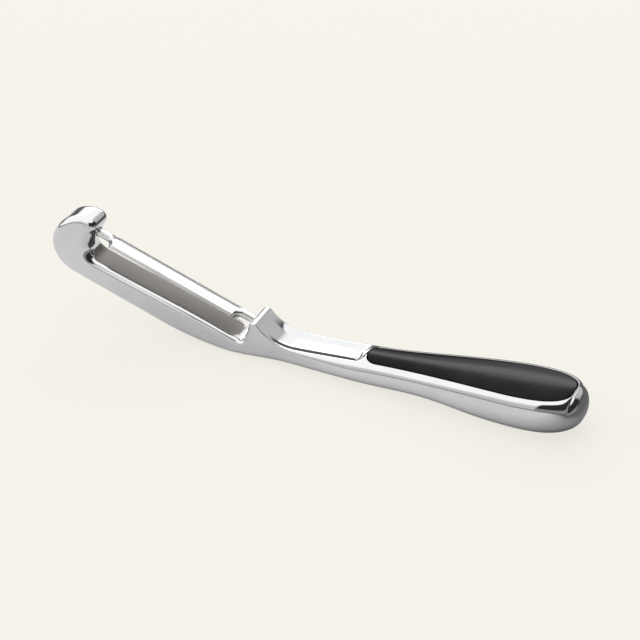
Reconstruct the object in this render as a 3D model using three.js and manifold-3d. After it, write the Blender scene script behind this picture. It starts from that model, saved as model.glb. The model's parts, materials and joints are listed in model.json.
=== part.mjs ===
// Swivel vegetable peeler: a plated casting with a hooked head and a teardrop handle,
// a soft grip pad let into the handle's top, and a slotted blade that turns on rolled tongues.
// Millimetres, +Z up, +X from the head towards the handle's butt, symmetric about the XZ plane.

import * as THREE from 'three';
import { mergeVertices } from 'three/addons/utils/BufferGeometryUtils.js';
import Module from 'manifold-3d';

const wasm = await Module();
wasm.setup();

const { clamp, degToRad, lerp, smoothstep } = THREE.MathUtils;

// Driving dimensions of the head, which leans up from the handle
const HEAD_TILT = degToRad(19);
const HEAD_HALF_WIDTH = 6.2;
const EDGE_RADIUS = 2.6;
const PIVOT_SPAN = 64.2;
const PIVOT_RISE = 12.3;
const FLOOR_DROP = 7.5;
const ARM_THICKNESS = 10.5;
const HOOK_REACH = 11.7;
const HOOK_RISE = 13.4;
const HOOK_SETBACK = 3.0;
const LIP_RADIUS = 2.8;
const LIP_NARROWING = 0.6;
const HOOK_FILLET = 1.6;
const BEND_RADIUS = 95;

// Shoulder and saddle-shaped neck
const SHOULDER_FILLET = 2.2;
const RIDGE_BACK = 2.2;
const RIDGE_RISE = 3.2;
const NECK_LENGTH = 17;
const NECK_HEIGHT = 7.9;
const CREASE_RADIUS = 0.2;
const SADDLE_EASE = 5;

// Handle
const HANDLE_LENGTH = 105.2;
const BELLY_FROM_END = 23;
const TOP_HEIGHT = 14.0;
const TOP_BOW = 0.55;
const SIDE_BULGE = 2.6;
const RIM = 0.5;
const UNDERSIDE_ARCH = 1.3;
const LAND_LENGTH = 8;
const BUTT_HEIGHT = 8.8;
const TOP_CORNER_SHARE = 0.5;
const BOTTOM_CORNER_SHARE = 0.5;
const NECK_FLAT_SHARE = 0.02;
const BELLY_FLAT_SHARE = 0.24;
const TOP_CROWN = 1.0;

// Squareness of the rounded ends in plan and in side view: 2 is an ellipse
const BUTT_SQUARENESS = 2.7;
const GRIP_FRONT_SQUARENESS = 2.3;
const GRIP_REAR_SQUARENESS = 2.8;

// Grip pad
const GRIP_LENGTH = 74.2;
const GRIP_FROM_END = 4.4;
const GRIP_FRONT_HALF = 5.1;
const GRIP_HALF_WIDTH = 10.4;
const GRIP_SWELL_PAST_BELLY = 8;
const GRIP_DEPTH = 2.4;

// Blade
const SHEET = 0.7;
const BLADE_EDGE_LENGTH = 49.5;
const BLADE_SHOULDER = 2.7;
const BLADE_FACE = 4.1;
const BLADE_LIP = 1.25;
const BLADE_CROWN = 0.85;
const FACE_ANGLE = degToRad(26);
const LIP_ANGLE = degToRad(62);
const BLADE_TURN = degToRad(15);
const TONGUE_RADIUS = 1.6;
const TONGUE_IN_BORE = 3.2;
const ROLL_ANGLE = degToRad(165);
const SLOT_WIDTH = 1.4;
const SLOT_BEVEL = 0.4;

// Clearances
const BORE_CLEARANCE = 0.3;
const GRIP_CLEARANCE = 0.3;

// Places on the handle's axis that follow from the sizes above
const SHOULDER_X = 0;
const NECK_X = SHOULDER_X + NECK_LENGTH;
const BUTT_X = NECK_X + HANDLE_LENGTH;
const BELLY_X = BUTT_X - BELLY_FROM_END;
const GRIP_REAR_X = BUTT_X - GRIP_FROM_END;
const GRIP_FRONT_X = GRIP_REAR_X - GRIP_LENGTH;
const ARM_BOTTOM = FLOOR_DROP + ARM_THICKNESS;

/** Turns a closed geometry into a solid for joins and cuts. */
function toSolid(geometry) {
  const bare = new THREE.BufferGeometry();
  bare.setAttribute('position', geometry.getAttribute('position'));
  bare.setIndex(geometry.getIndex());
  const welded = mergeVertices(bare, 1e-4);
  return new wasm.Manifold(new wasm.Mesh({
    numProp: 3,
    vertProperties: new Float32Array(welded.getAttribute('position').array),
    triVerts: new Uint32Array(welded.getIndex().array),
  }));
}

/** Turns a solid back into a geometry. */
function toGeometry(solid) {
  const mesh = solid.getMesh();
  const geometry = new THREE.BufferGeometry();
  geometry.setAttribute('position', new THREE.BufferAttribute(mesh.vertProperties, 3));
  geometry.setIndex(new THREE.BufferAttribute(mesh.triVerts, 1));
  geometry.computeVertexNormals();
  return geometry;
}

/**
 * Skins a row of closed rings with equal counts. A ring is listed so that points i and
 * count - 1 - i face each other, and the two end rings are closed by the strip between them.
 */
function loft(rings) {
  const count = rings[0].length;
  const positions = rings.flat().flatMap((point) => point.toArray());
  const faces = [];
  for (let ring = 0; ring < rings.length - 1; ring++) {
    for (let i = 0; i < count; i++) {
      const here = ring * count + i;
      const next = ring * count + (i + 1) % count;
      faces.push(here, here + count, next + count, here, next + count, next);
    }
  }
  const last = (rings.length - 1) * count;
  for (let i = 0; i < count / 2 - 1; i++) {
    const across = count - 1 - i;
    faces.push(i, i + 1, across - 1, i, across - 1, across);
    faces.push(last + i, last + across - 1, last + i + 1, last + i, last + across, last + across - 1);
  }
  const geometry = new THREE.BufferGeometry();
  geometry.setAttribute('position', new THREE.Float32BufferAttribute(positions, 3));
  geometry.setIndex(faces);
  return geometry;
}

/** Closes half a ring, listed from top to bottom on the +Y side, with its mirror image. */
function mirrored(half) {
  const other = half.map((point) => new THREE.Vector3(point.x, -point.y, point.z));
  return [...half, ...other.reverse()];
}

/** A rounded end: 1 at share 0, falling to 0 at share 1 along a superellipse. */
function roundedEnd(share, power) {
  return share <= 0 ? 1 : Math.pow(1 - Math.pow(Math.min(share, 1), power), 1 / power);
}

/** Head coordinates, u along the blade from the shoulder and v square to it, in the part's plane. */
function headPoint(u, v) {
  return new THREE.Vector2(
    SHOULDER_X + u * Math.cos(HEAD_TILT) + v * Math.sin(HEAD_TILT),
    PIVOT_RISE - u * Math.sin(HEAD_TILT) + v * Math.cos(HEAD_TILT),
  );
}

/** Points and inward normals along a path in head coordinates; side is +1 with the solid on the left. */
function walk(path, steps, side) {
  return Array.from({ length: steps + 1 }, (_, i) => {
    const point = path.getPointAt(i / steps);
    const along = path.getTangentAt(i / steps);
    const foot = headPoint(point.x, point.y);
    const tip = headPoint(point.x - side * along.y, point.y + side * along.x);
    return { point: foot, normal: tip.sub(foot) };
  });
}

/** Height and inward normal of the frame's underside: the arm's slope, a long bend, then the handle. */
function underside(x) {
  const corner = bendCorner();
  const reach = BEND_RADIUS * Math.tan(HEAD_TILT / 2);
  const start = corner - reach * Math.cos(HEAD_TILT);
  const end = corner + reach;
  let height = 0;
  let slope = 0;
  if (x < start) {
    slope = -Math.tan(HEAD_TILT);
    height = (x - corner) * slope;
  } else if (x < end) {
    const back = end - x;
    const drop = Math.sqrt(BEND_RADIUS ** 2 - back ** 2);
    height = BEND_RADIUS - drop;
    slope = -back / drop;
  } else if (x > GRIP_FRONT_X && x < BELLY_X - LAND_LENGTH) {
    const share = (x - GRIP_FRONT_X) / (BELLY_X - LAND_LENGTH - GRIP_FRONT_X);
    height = UNDERSIDE_ARCH * Math.sin(Math.PI * share) ** 2;
  }
  const normal = new THREE.Vector2(-slope, 1).normalize();
  return { point: new THREE.Vector2(x, height), normal };
}

/** Where the arm's bottom line would meet the ground line. */
function bendCorner() {
  const low = headPoint(0, -ARM_BOTTOM);
  return low.x + low.y / Math.tan(HEAD_TILT);
}

/** Height of the frame's top along the neck and the gently bowed handle, on the middle plane. */
function topHeight(x) {
  const easing = (reach) => Math.hypot(reach, SADDLE_EASE) - SADDLE_EASE;
  const share = easing(Math.max(0, x - NECK_X)) / easing(BELLY_X - NECK_X);
  const along = clamp((x - GRIP_FRONT_X) / (BUTT_X - GRIP_FRONT_X), 0, 1);
  return lerp(NECK_HEIGHT, TOP_HEIGHT, share) + TOP_BOW * Math.sin(Math.PI * along) ** 2;
}

/** Half width of the handle's top between its rounded sides, with its blunt rear. */
function topFlat(x) {
  const rimRear = GRIP_REAR_X + RIM;
  return topFlank(x) * roundedEnd((x - BELLY_X) / (rimRear - BELLY_X), GRIP_REAR_SQUARENESS);
}

/** How far the handle's top is crowned on the middle plane. */
function topCrown(x) {
  return TOP_CROWN * smoothstep(x, ridge().x, NECK_X) * topFlat(x) / topFlank(x);
}

/** Half width of the handle's top before its ends are rounded. */
function topFlank(x) {
  if (x < GRIP_FRONT_X) {
    const share = smoothstep(x, SHOULDER_X, GRIP_FRONT_X);
    return lerp(HEAD_HALF_WIDTH - CREASE_RADIUS, GRIP_FRONT_HALF + RIM, share);
  }
  return gripFlank(x) + RIM;
}

/** Half width of the grip pad before its ends are rounded. */
function gripFlank(x) {
  const share = smoothstep(x, GRIP_FRONT_X, BELLY_X + GRIP_SWELL_PAST_BELLY);
  return lerp(GRIP_FRONT_HALF, GRIP_HALF_WIDTH, share);
}

/** Half width of the grip pad, with its round front and its blunt rear. */
function gripHalfWidth(x) {
  const front = roundedEnd((GRIP_FRONT_X + GRIP_FRONT_HALF - x) / GRIP_FRONT_HALF, GRIP_FRONT_SQUARENESS);
  const rear = roundedEnd((x - BELLY_X) / (GRIP_REAR_X - BELLY_X), GRIP_REAR_SQUARENESS);
  return gripFlank(x) * front * rear;
}

/**
 * One ring of the frame. inner and outer carry the middle-plane points of the blade side and the
 * underside with their inward normals; the corners are quarter ellipses between the flats, and the
 * upper flat may be crowned.
 */
function frameRing({ inner, outer, half, topFlat, topDepth, bottomFlat, bottomDepth, crown = 0 }) {
  const steps = 4;
  const crownShares = [0.2, 0.6];
  const spot = ({ point, normal }, y, inset) => new THREE.Vector3(
    point.x + normal.x * inset,
    y,
    point.y + normal.y * inset,
  );
  const corner = (side, flat, depth, angle) => (
    spot(side, flat + (half - flat) * Math.sin(angle), depth * (1 - Math.cos(angle)))
  );
  const points = crownShares.map((share) => spot(inner, topFlat * share, -crown * (1 - share ** 2)));
  for (let i = 0; i <= steps; i++) {
    points.push(corner(inner, topFlat, topDepth, (i / steps) * Math.PI / 2));
  }
  for (let i = steps; i >= 0; i--) {
    points.push(corner(outer, bottomFlat, bottomDepth, (i / steps) * Math.PI / 2));
  }
  return mirrored(points);
}

/** A ring in the head, where both sides have the same rounded edge. */
function headRing(inner, outer, half = HEAD_HALF_WIDTH, depth = EDGE_RADIUS) {
  return frameRing({
    inner,
    outer,
    half,
    topFlat: half - EDGE_RADIUS,
    topDepth: depth,
    bottomFlat: half - EDGE_RADIUS,
    bottomDepth: depth,
  });
}

/** The hook: rings fan out from the lip, round the inner corner and down to the arm. */
function hookRings() {
  const wall = -PIVOT_SPAN;
  const top = HOOK_RISE - FLOOR_DROP;
  const centre = wall - HOOK_SETBACK;
  const lip = new THREE.Vector2(wall - LIP_RADIUS, top - LIP_RADIUS);
  const split = degToRad(45);
  const tipGap = degToRad(4);
  const inside = new THREE.Path();
  inside.absarc(lip.x, lip.y, LIP_RADIUS, split - tipGap, 0, true);
  inside.lineTo(wall, -FLOOR_DROP + HOOK_FILLET);
  inside.absarc(wall + HOOK_FILLET, -FLOOR_DROP + HOOK_FILLET, HOOK_FILLET, Math.PI, 1.5 * Math.PI, false);
  const outside = new THREE.Path();
  outside.absarc(lip.x, lip.y, LIP_RADIUS, split + tipGap, Math.PI / 2, false);
  outside.lineTo(centre, top);
  outside.absellipse(centre, -FLOOR_DROP, HOOK_REACH, HOOK_RISE, Math.PI / 2, Math.PI, false, 0);
  outside.absellipse(centre, -FLOOR_DROP, HOOK_REACH, ARM_THICKNESS, Math.PI, 1.5 * Math.PI, false, 0);
  outside.lineTo(wall + HOOK_FILLET, -ARM_BOTTOM);
  const steps = 22;
  const inner = walk(inside, steps, -1);
  const outer = walk(outside, steps, 1);
  const lipEdge = 0.9 * LIP_RADIUS;
  const fullEdgeShare = 0.3;
  const fullWidthShare = 0.45;
  return inner.map((at, i) => {
    const half = HEAD_HALF_WIDTH - LIP_NARROWING * (1 - smoothstep(i / steps, 0, fullWidthShare));
    const depth = lerp(lipEdge, EDGE_RADIUS, smoothstep(i / steps, 0, fullEdgeShare));
    return headRing(at, outer[i], half, depth);
  });
}

/** The arm: its floor runs straight, its underside bends into the handle. */
function armRings() {
  const from = -PIVOT_SPAN + HOOK_FILLET;
  const to = -SHOULDER_FILLET;
  const steps = 14;
  const rings = [];
  for (let i = 1; i < steps; i++) {
    const u = lerp(from, to, i / steps);
    const foot = headPoint(u, -FLOOR_DROP);
    const normal = headPoint(u, -FLOOR_DROP - 1).sub(foot);
    const below = headPoint(u, -ARM_BOTTOM);
    rings.push(headRing({ point: foot, normal }, underside(below.x)));
  }
  return rings;
}

/** Flat half width and corner height of the underside, which rounds off from the arm to the neck. */
function bottomCorner(x, half, tall) {
  const round = smoothstep(x, headPoint(-SHOULDER_FILLET, -ARM_BOTTOM).x, NECK_X);
  const flatShare = lerp(NECK_FLAT_SHARE, BELLY_FLAT_SHARE, smoothstep(x, NECK_X, BELLY_X));
  return {
    bottomFlat: lerp(half - EDGE_RADIUS, flatShare * half, round),
    bottomDepth: lerp(EDGE_RADIUS, BOTTOM_CORNER_SHARE * tall, round),
  };
}

/** The shoulder: up the wall that holds the blade's rear bore, to the ridge. */
function shoulderRings() {
  const wall = new THREE.Path();
  wall.absarc(-SHOULDER_FILLET, -FLOOR_DROP + SHOULDER_FILLET, SHOULDER_FILLET, -Math.PI / 2, 0, false);
  wall.lineTo(0, RIDGE_RISE - RIDGE_BACK);
  wall.quadraticCurveTo(0, RIDGE_RISE - RIDGE_BACK / 4, RIDGE_BACK, RIDGE_RISE);
  const steps = 16;
  const firstX = headPoint(-SHOULDER_FILLET, -ARM_BOTTOM).x;
  const lastX = ridge().x;
  return walk(wall, steps, -1).map((inner, i) => {
    const share = i / steps;
    const sharp = smoothstep(share, 0.55, 1);
    const edge = lerp(EDGE_RADIUS, CREASE_RADIUS, sharp);
    const x = lerp(firstX, lastX, share);
    return frameRing({
      inner,
      outer: underside(x),
      half: HEAD_HALF_WIDTH,
      topFlat: HEAD_HALF_WIDTH - edge,
      topDepth: edge,
      ...bottomCorner(x, HEAD_HALF_WIDTH, NECK_HEIGHT),
    });
  });
}

/** The ridge's place on the middle plane. */
function ridge() {
  return headPoint(RIDGE_BACK, RIDGE_RISE);
}

/** Height of the saddle between the ridge and the neck's lowest point: one round arc. */
function saddleHeight(x) {
  const top = ridge();
  const rise = top.y - NECK_HEIGHT;
  const run = NECK_X - top.x;
  const radius = (rise ** 2 + run ** 2) / (2 * rise);
  return NECK_HEIGHT + radius - Math.sqrt(radius ** 2 - (NECK_X - x) ** 2);
}

/** A ring of the neck or handle in the plane at x. */
function handleRing(x) {
  const buttShare = (x - BELLY_X) / (BUTT_X - BELLY_X);
  const soft = smoothstep(x, ridge().x, GRIP_FRONT_X);
  const flankHalf = topFlank(Math.min(x, BELLY_X)) + lerp(CREASE_RADIUS, SIDE_BULGE, soft);
  const half = flankHalf * roundedEnd(buttShare, BUTT_SQUARENESS);
  const flatTop = x < NECK_X ? saddleHeight(x) : topHeight(x);
  const top = lerp(BUTT_HEIGHT, flatTop, roundedEnd((x - GRIP_REAR_X) / (BUTT_X - GRIP_REAR_X), 2));
  const bottom = lerp(BUTT_HEIGHT, underside(x).point.y, roundedEnd(buttShare, BUTT_SQUARENESS));
  const tall = x < NECK_X ? NECK_HEIGHT : top - bottom;
  return frameRing({
    inner: { point: new THREE.Vector2(x, top), normal: new THREE.Vector2(0, -1) },
    outer: { point: new THREE.Vector2(x, bottom), normal: new THREE.Vector2(0, 1) },
    half,
    crown: topCrown(x),
    topFlat: Math.min(topFlat(x), half),
    topDepth: lerp(CREASE_RADIUS, TOP_CORNER_SHARE * tall, soft),
    ...bottomCorner(x, half, tall),
  });
}

/** The neck, the handle and the butt, as plane rings. */
function handleRings() {
  const rings = [];
  const saddleSteps = 10;
  const first = ridge().x;
  for (let i = 1; i <= saddleSteps; i++) {
    rings.push(handleRing(lerp(first, NECK_X, i / saddleSteps)));
  }
  const handleSteps = 22;
  for (let i = 1; i <= handleSteps; i++) {
    rings.push(handleRing(lerp(NECK_X, BELLY_X, i / handleSteps)));
  }
  const buttSteps = 14;
  const lastAngle = 0.985 * Math.PI / 2;
  for (let i = 1; i <= buttSteps; i++) {
    rings.push(handleRing(lerp(BELLY_X, BUTT_X, Math.sin(lastAngle * i / buttSteps))));
  }
  return rings;
}

/** The plan of the grip pad as rings along X, grown by a clearance, between two height rules. */
function gripRings(clearance, bottomAt, topAt) {
  const steps = 30;
  const crossSteps = 5;
  const middle = (GRIP_FRONT_X + GRIP_REAR_X) / 2;
  const reach = 1 + 2 * clearance / GRIP_LENGTH;
  return Array.from({ length: steps + 1 }, (_, i) => {
    const angle = lerp(-0.97, 0.97, i / steps) * Math.PI / 2;
    const x = middle + Math.sin(angle) * GRIP_LENGTH / 2;
    const half = gripHalfWidth(x) + clearance;
    const place = middle + (x - middle) * reach;
    const points = [];
    for (let step = 1; step <= crossSteps; step++) {
      const share = step / crossSteps;
      points.push(new THREE.Vector3(place, half * share, topAt(x, half * share)));
    }
    points.push(new THREE.Vector3(place, half, bottomAt(x)));
    return mirrored(points);
  });
}

/** The recess that the grip pad is let into. */
function gripRecess() {
  return loft(gripRings(GRIP_CLEARANCE, (x) => topHeight(x) - GRIP_DEPTH, (x) => topHeight(x) + TOP_HEIGHT));
}

/** The grip pad, which carries on the crown of the handle's top. */
function gripInlay() {
  const crowned = (x, y) => topHeight(x) + topCrown(x) * (1 - (y / topFlat(x)) ** 2);
  return loft(gripRings(0, (x) => topHeight(x) - GRIP_DEPTH + GRIP_CLEARANCE, crowned));
}

/** A round bore along the pivot axis, from u0 to u1 in head coordinates. */
function pivotBore(u0, u1) {
  const bore = new THREE.CylinderGeometry(
    TONGUE_RADIUS + BORE_CLEARANCE, TONGUE_RADIUS + BORE_CLEARANCE, u1 - u0, 24);
  bore.rotateZ(Math.PI / 2);
  bore.translate((u0 + u1) / 2, 0, 0);
  bore.applyMatrix4(headMatrix());
  return bore;
}

/** The placement of head coordinates in the part. */
function headMatrix() {
  const matrix = new THREE.Matrix4().makeRotationY(HEAD_TILT);
  return matrix.setPosition(SHOULDER_X, 0, PIVOT_RISE);
}

/** The plated casting. */
function castFrame() {
  const rings = [...hookRings(), ...armRings(), ...shoulderRings(), ...handleRings()];
  const depth = TONGUE_IN_BORE + BORE_CLEARANCE;
  const mouth = 1;
  const solid = toSolid(loft(rings))
    .subtract(toSolid(gripRecess()))
    .subtract(toSolid(pivotBore(-PIVOT_SPAN - depth, -PIVOT_SPAN + mouth)))
    .subtract(toSolid(pivotBore(-mouth, depth)));
  return toGeometry(solid);
}

/**
 * One ring of the blade's sheet at u. rolled is 0 in the arched body and 1 in a tongue, and the
 * sheet's direction across the strip is blended between the two, as the steel is bent.
 */
function sheetRing(u, rolled) {
  const steps = 9;
  const foldShare = BLADE_FACE / (BLADE_FACE + BLADE_LIP);
  const tongueLine = TONGUE_RADIUS - SHEET / 2;
  const halfGirth = lerp(BLADE_FACE + BLADE_LIP, tongueLine * ROLL_ANGLE, rolled);
  const bodyAngle = (share) => {
    const face = FACE_ANGLE * Math.min(1, share / foldShare);
    return lerp(face, LIP_ANGLE, smoothstep(share, foldShare - 0.08, foldShare + 0.08));
  };
  const outer = [];
  const inner = [];
  let y = 0;
  let v = lerp(BLADE_CROWN, TONGUE_RADIUS, rolled) - SHEET / 2;
  for (let i = 0; i <= steps; i++) {
    const share = i / steps;
    const angle = lerp(bodyAngle(share), ROLL_ANGLE * share, rolled);
    const across = new THREE.Vector3(0, Math.sin(angle), Math.cos(angle)).multiplyScalar(SHEET / 2);
    const line = new THREE.Vector3(u, y, v);
    outer.push(line.clone().add(across));
    inner.push(line.clone().sub(across));
    const midShare = (i + 0.5) / steps;
    const midAngle = lerp(bodyAngle(midShare), ROLL_ANGLE * midShare, rolled);
    y += Math.cos(midAngle) * halfGirth / steps;
    v -= Math.sin(midAngle) * halfGirth / steps;
  }
  const flip = (point) => new THREE.Vector3(point.x, -point.y, point.z);
  const across = (row) => [...row.slice(1).reverse().map(flip), ...row];
  return [...across(outer), ...across(inner).reverse()];
}

/** The slot's cutter: a round-ended bar that widens downwards, so that the slot's upper edges are keen. */
function slotCutter(middle) {
  const steps = 8;
  const levels = [
    { v: -SHEET, half: SLOT_WIDTH / 2 + SLOT_BEVEL },
    { v: BLADE_CROWN + SHEET, half: SLOT_WIDTH / 2 - SLOT_BEVEL },
  ];
  return loft(levels.map(({ v, half }) => {
    const points = [];
    const straight = BLADE_EDGE_LENGTH / 2 - half;
    for (let i = 0; i < steps; i++) {
      const angle = Math.PI - (i + 0.5) / steps * Math.PI;
      const shift = angle > Math.PI / 2 ? -straight : straight;
      points.push(new THREE.Vector3(
        middle + shift + half * Math.cos(angle), half * Math.sin(angle), v));
    }
    return mirrored(points);
  }));
}

/** The blade, in head coordinates: an arched strip whose ends are rolled into tongues. */
function swivelBlade() {
  const middle = -PIVOT_SPAN / 2;
  const bodyHalf = BLADE_EDGE_LENGTH / 2;
  const rollHalf = bodyHalf + BLADE_SHOULDER;
  const endHalf = PIVOT_SPAN / 2 + TONGUE_IN_BORE;
  const stations = [[endHalf, 1], [rollHalf, 1]];
  const shoulderSteps = 5;
  for (let i = 1; i <= shoulderSteps; i++) {
    const share = i / shoulderSteps;
    stations.push([lerp(rollHalf, bodyHalf, share), 1 - smoothstep(share, 0, 1)]);
  }
  const left = stations.map(([reach, rolled]) => sheetRing(middle - reach, rolled));
  const right = stations.map(([reach, rolled]) => sheetRing(middle + reach, rolled)).reverse();
  const strip = toSolid(loft([...left, ...right]));
  return toGeometry(strip.subtract(toSolid(slotCutter(middle))));
}

/** One named piece. */
function piece(name, geometry, colour, roughness, metalness) {
  const material = new THREE.MeshStandardMaterial({ color: colour, roughness, metalness });
  const mesh = new THREE.Mesh(geometry, material);
  mesh.name = name;
  return mesh;
}

const head = new THREE.Group();
head.position.set(SHOULDER_X, 0, PIVOT_RISE);
head.rotation.y = HEAD_TILT;
const blade = piece('swivel_blade', swivelBlade(), 0xd9dadb, 0.28, 1);
blade.rotation.x = -BLADE_TURN;
head.add(blade);

const peeler = new THREE.Group();
peeler.add(piece('cast_frame', castFrame(), 0xcfd0d1, 0.08, 1));
peeler.add(piece('grip_inlay', gripInlay(), 0x1b1b1c, 0.6, 0));
peeler.add(head);

// The origin lies on the ground under the middle of the whole length
const box = new THREE.Box3().setFromObject(peeler);
peeler.position.set(-(box.min.x + box.max.x) / 2, 0, -box.min.z);

export default peeler;
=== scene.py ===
"""Looks of a swivel vegetable peeler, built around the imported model's frame."""

import json
import logging
import math
from dataclasses import dataclass, field
from enum import Enum
from typing import Any

import bmesh
import bpy
import numpy as np
from mathutils import Matrix, Vector


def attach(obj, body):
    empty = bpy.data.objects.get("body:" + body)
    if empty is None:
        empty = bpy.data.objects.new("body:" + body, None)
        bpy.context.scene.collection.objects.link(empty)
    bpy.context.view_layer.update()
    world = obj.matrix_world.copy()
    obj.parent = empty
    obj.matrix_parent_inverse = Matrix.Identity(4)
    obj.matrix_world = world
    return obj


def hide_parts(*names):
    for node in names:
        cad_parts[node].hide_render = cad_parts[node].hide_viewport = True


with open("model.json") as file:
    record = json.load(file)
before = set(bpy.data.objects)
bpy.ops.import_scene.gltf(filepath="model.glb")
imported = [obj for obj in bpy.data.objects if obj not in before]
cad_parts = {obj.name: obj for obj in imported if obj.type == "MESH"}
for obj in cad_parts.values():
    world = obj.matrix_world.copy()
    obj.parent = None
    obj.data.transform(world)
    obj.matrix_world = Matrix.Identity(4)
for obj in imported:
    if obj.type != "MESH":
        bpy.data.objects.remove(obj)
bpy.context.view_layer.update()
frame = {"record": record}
LOG = logging.getLogger("peeler")
MM = 0.001
QUARTER = math.pi / 2
IMAGE_PX = 640
DOUBLED_M, SLIVER_M = 2e-7, 1e-7
NIL_MM = 1e-9
MATH, RANGE, VECTOR = "ShaderNodeMath", "ShaderNodeMapRange", "ShaderNodeVectorMath"
NOISE, RAMP, BUMP, BLEND = "ShaderNodeTexNoise", "ShaderNodeValToRGB", "ShaderNodeBump", "ShaderNodeMix"


class Body(Enum):
    """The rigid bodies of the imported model."""

    FRAME = "frame"
    BLADE = "blade"


class Slot(Enum):
    """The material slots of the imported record."""

    CASTING = "plated_casting"
    GRIP = "soft_grip"
    STEEL = "blade_steel"


def linear(hex_code: str) -> tuple[float, float, float, float]:
    """Turn an sRGB hex colour into linear RGBA.

    Args:
        hex_code: six hex digits with a leading #.

    Returns:
        The linear colour with full alpha.
    """
    shares = [int(hex_code[i:i + 2], 16) / 255 for i in (1, 3, 5)]
    bent = [s / 12.92 if s <= 0.04045 else ((s + 0.055) / 1.055) ** 2.4 for s in shares]
    return (bent[0], bent[1], bent[2], 1.0)


def feed(node: bpy.types.Node, inputs: dict[Any, Any]) -> None:
    """Set or link a node's inputs.

    Args:
        node: the node.
        inputs: input name or number to a value, or to the socket that feeds it.
    """
    for key, value in inputs.items():
        if isinstance(value, bpy.types.NodeSocket):
            node.id_data.links.new(value, node.inputs[key])
        else:
            node.inputs[key].default_value = value


def add(tree: bpy.types.NodeTree, kind: str, inputs: dict[Any, Any], out: str = "",
        **settings: Any) -> bpy.types.NodeSocket | None:
    """Add one node, set it and feed it.

    Args:
        tree: the node tree that gets the node.
        kind: the node's type name.
        inputs: what its inputs get, as for feed.
        out: name of the output that is wanted, or nothing for the first one in use.
        settings: properties of the node itself, and the stops of a colour ramp.

    Returns:
        The output, or None from a node without one.
    """
    node = tree.nodes.new(kind)
    stops = settings.pop("stops", ())
    if stops:
        bands = node.color_ramp.elements
        for _ in stops[len(bands):]:
            bands.new(0.5)
        for band, (at, tone) in zip(bands, stops):
            band.position, band.color = at, linear(tone)
    for name, value in settings.items():
        setattr(node, name, value)
    feed(node, inputs)
    return node.outputs[out] if out else next((s for s in node.outputs if not s.is_unavailable), None)


def blank_material(name: str) -> tuple[bpy.types.Material, bpy.types.NodeTree]:
    """Make a material with nodes.

    Args:
        name: the material's name.

    Returns:
        The material and its node tree.
    """
    made = bpy.data.materials.new(name)
    made.use_nodes = True
    return made, made.node_tree


def smoothstep(value: Any, low: float, high: float) -> Any:
    """Ease from 0 at low to 1 at high."""
    share = np.clip((value - low) / (high - low), 0.0, 1.0)
    return share * share * (3 - 2 * share)


def mix(low: Any, high: Any, share: Any) -> Any:
    """Blend two values by a share."""
    return low + (high - low) * share


def ease(low: Any, high: Any, value: Any, start: float, end: float) -> Any:
    """Blend from low to high while a value goes from start to end."""
    return mix(low, high, smoothstep(value, start, end))


def rounded_end(share: float, squareness: float) -> float:
    """Follow a superellipse from 1 at share 0 down to 0 at share 1."""
    held = min(max(share, 0.0), 1.0)
    return (1 - held ** squareness) ** (1 / squareness)


def show(name: str, data: Any) -> bpy.types.Object:
    """Put a mesh, lamp or camera into the scene.

    Args:
        name: the object's name.
        data: what it shows.

    Returns:
        The object.
    """
    made = bpy.data.objects.new(name, data)
    bpy.context.scene.collection.objects.link(made)
    return made


def evaluated(blank: bpy.types.Object, name: str) -> bpy.types.Mesh:
    """Take an object's mesh with its modifiers applied.

    Args:
        blank: the object with modifiers.
        name: the new mesh's name.

    Returns:
        The plain mesh.
    """
    made = bpy.data.meshes.new_from_object(blank.evaluated_get(bpy.context.evaluated_depsgraph_get()))
    made.name = name
    return made


def mend(mesh: bpy.types.Mesh, sharp_deg: float) -> None:
    """Merge doubled points, close cracks, turn the faces outwards and shade them smooth.

    Args:
        mesh: the mesh, changed in place.
        sharp_deg: edges that bend more than this stay crisp.
    """
    form = bmesh.new()
    form.from_mesh(mesh)
    bmesh.ops.remove_doubles(form, verts=form.verts, dist=DOUBLED_M)
    bmesh.ops.dissolve_degenerate(form, edges=form.edges, dist=SLIVER_M)
    bmesh.ops.holes_fill(form, edges=[edge for edge in form.edges if edge.is_boundary])
    bmesh.ops.recalc_face_normals(form, faces=form.faces)
    form.to_mesh(mesh)
    form.free()
    mesh.shade_smooth()
    mesh.set_sharp_from_angle(angle=math.radians(sharp_deg))


def finished_mesh(name: str, points: np.ndarray, faces: list[tuple[int, ...]], sharp_deg: float,
                  marks: dict[str, np.ndarray] | None = None) -> bpy.types.Mesh:
    """Make a closed, smooth-shaded mesh with crisp edges past an angle.

    Args:
        name: the mesh's name.
        points: corner positions in millimetres.
        faces: corner numbers of each face.
        sharp_deg: edges that bend more than this stay crisp.
        marks: named shares, one for each point, that materials read.

    Returns:
        The mesh, in metres, with its faces turned outwards.
    """
    mesh = bpy.data.meshes.new(name)
    mesh.from_pydata((points * MM).tolist(), [], faces)
    for mark, shares in (marks or {}).items():
        mesh.attributes.new(mark, "FLOAT", "POINT").data.foreach_set("value", shares)
    mend(mesh, sharp_deg)
    return mesh


def place(name: str, mesh: bpy.types.Mesh, finish: bpy.types.Material, node: str, body: Body,
          slot: Slot) -> None:
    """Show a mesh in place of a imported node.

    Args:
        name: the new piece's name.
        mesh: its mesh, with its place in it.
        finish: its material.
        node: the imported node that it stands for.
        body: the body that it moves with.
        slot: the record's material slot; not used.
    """
    mesh.materials.clear()
    mesh.materials.append(finish)
    piece = show(name, mesh)
    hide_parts(node)
    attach(piece, body.value)
    LOG.info("%s: %d faces", name, len(mesh.polygons))


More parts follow.
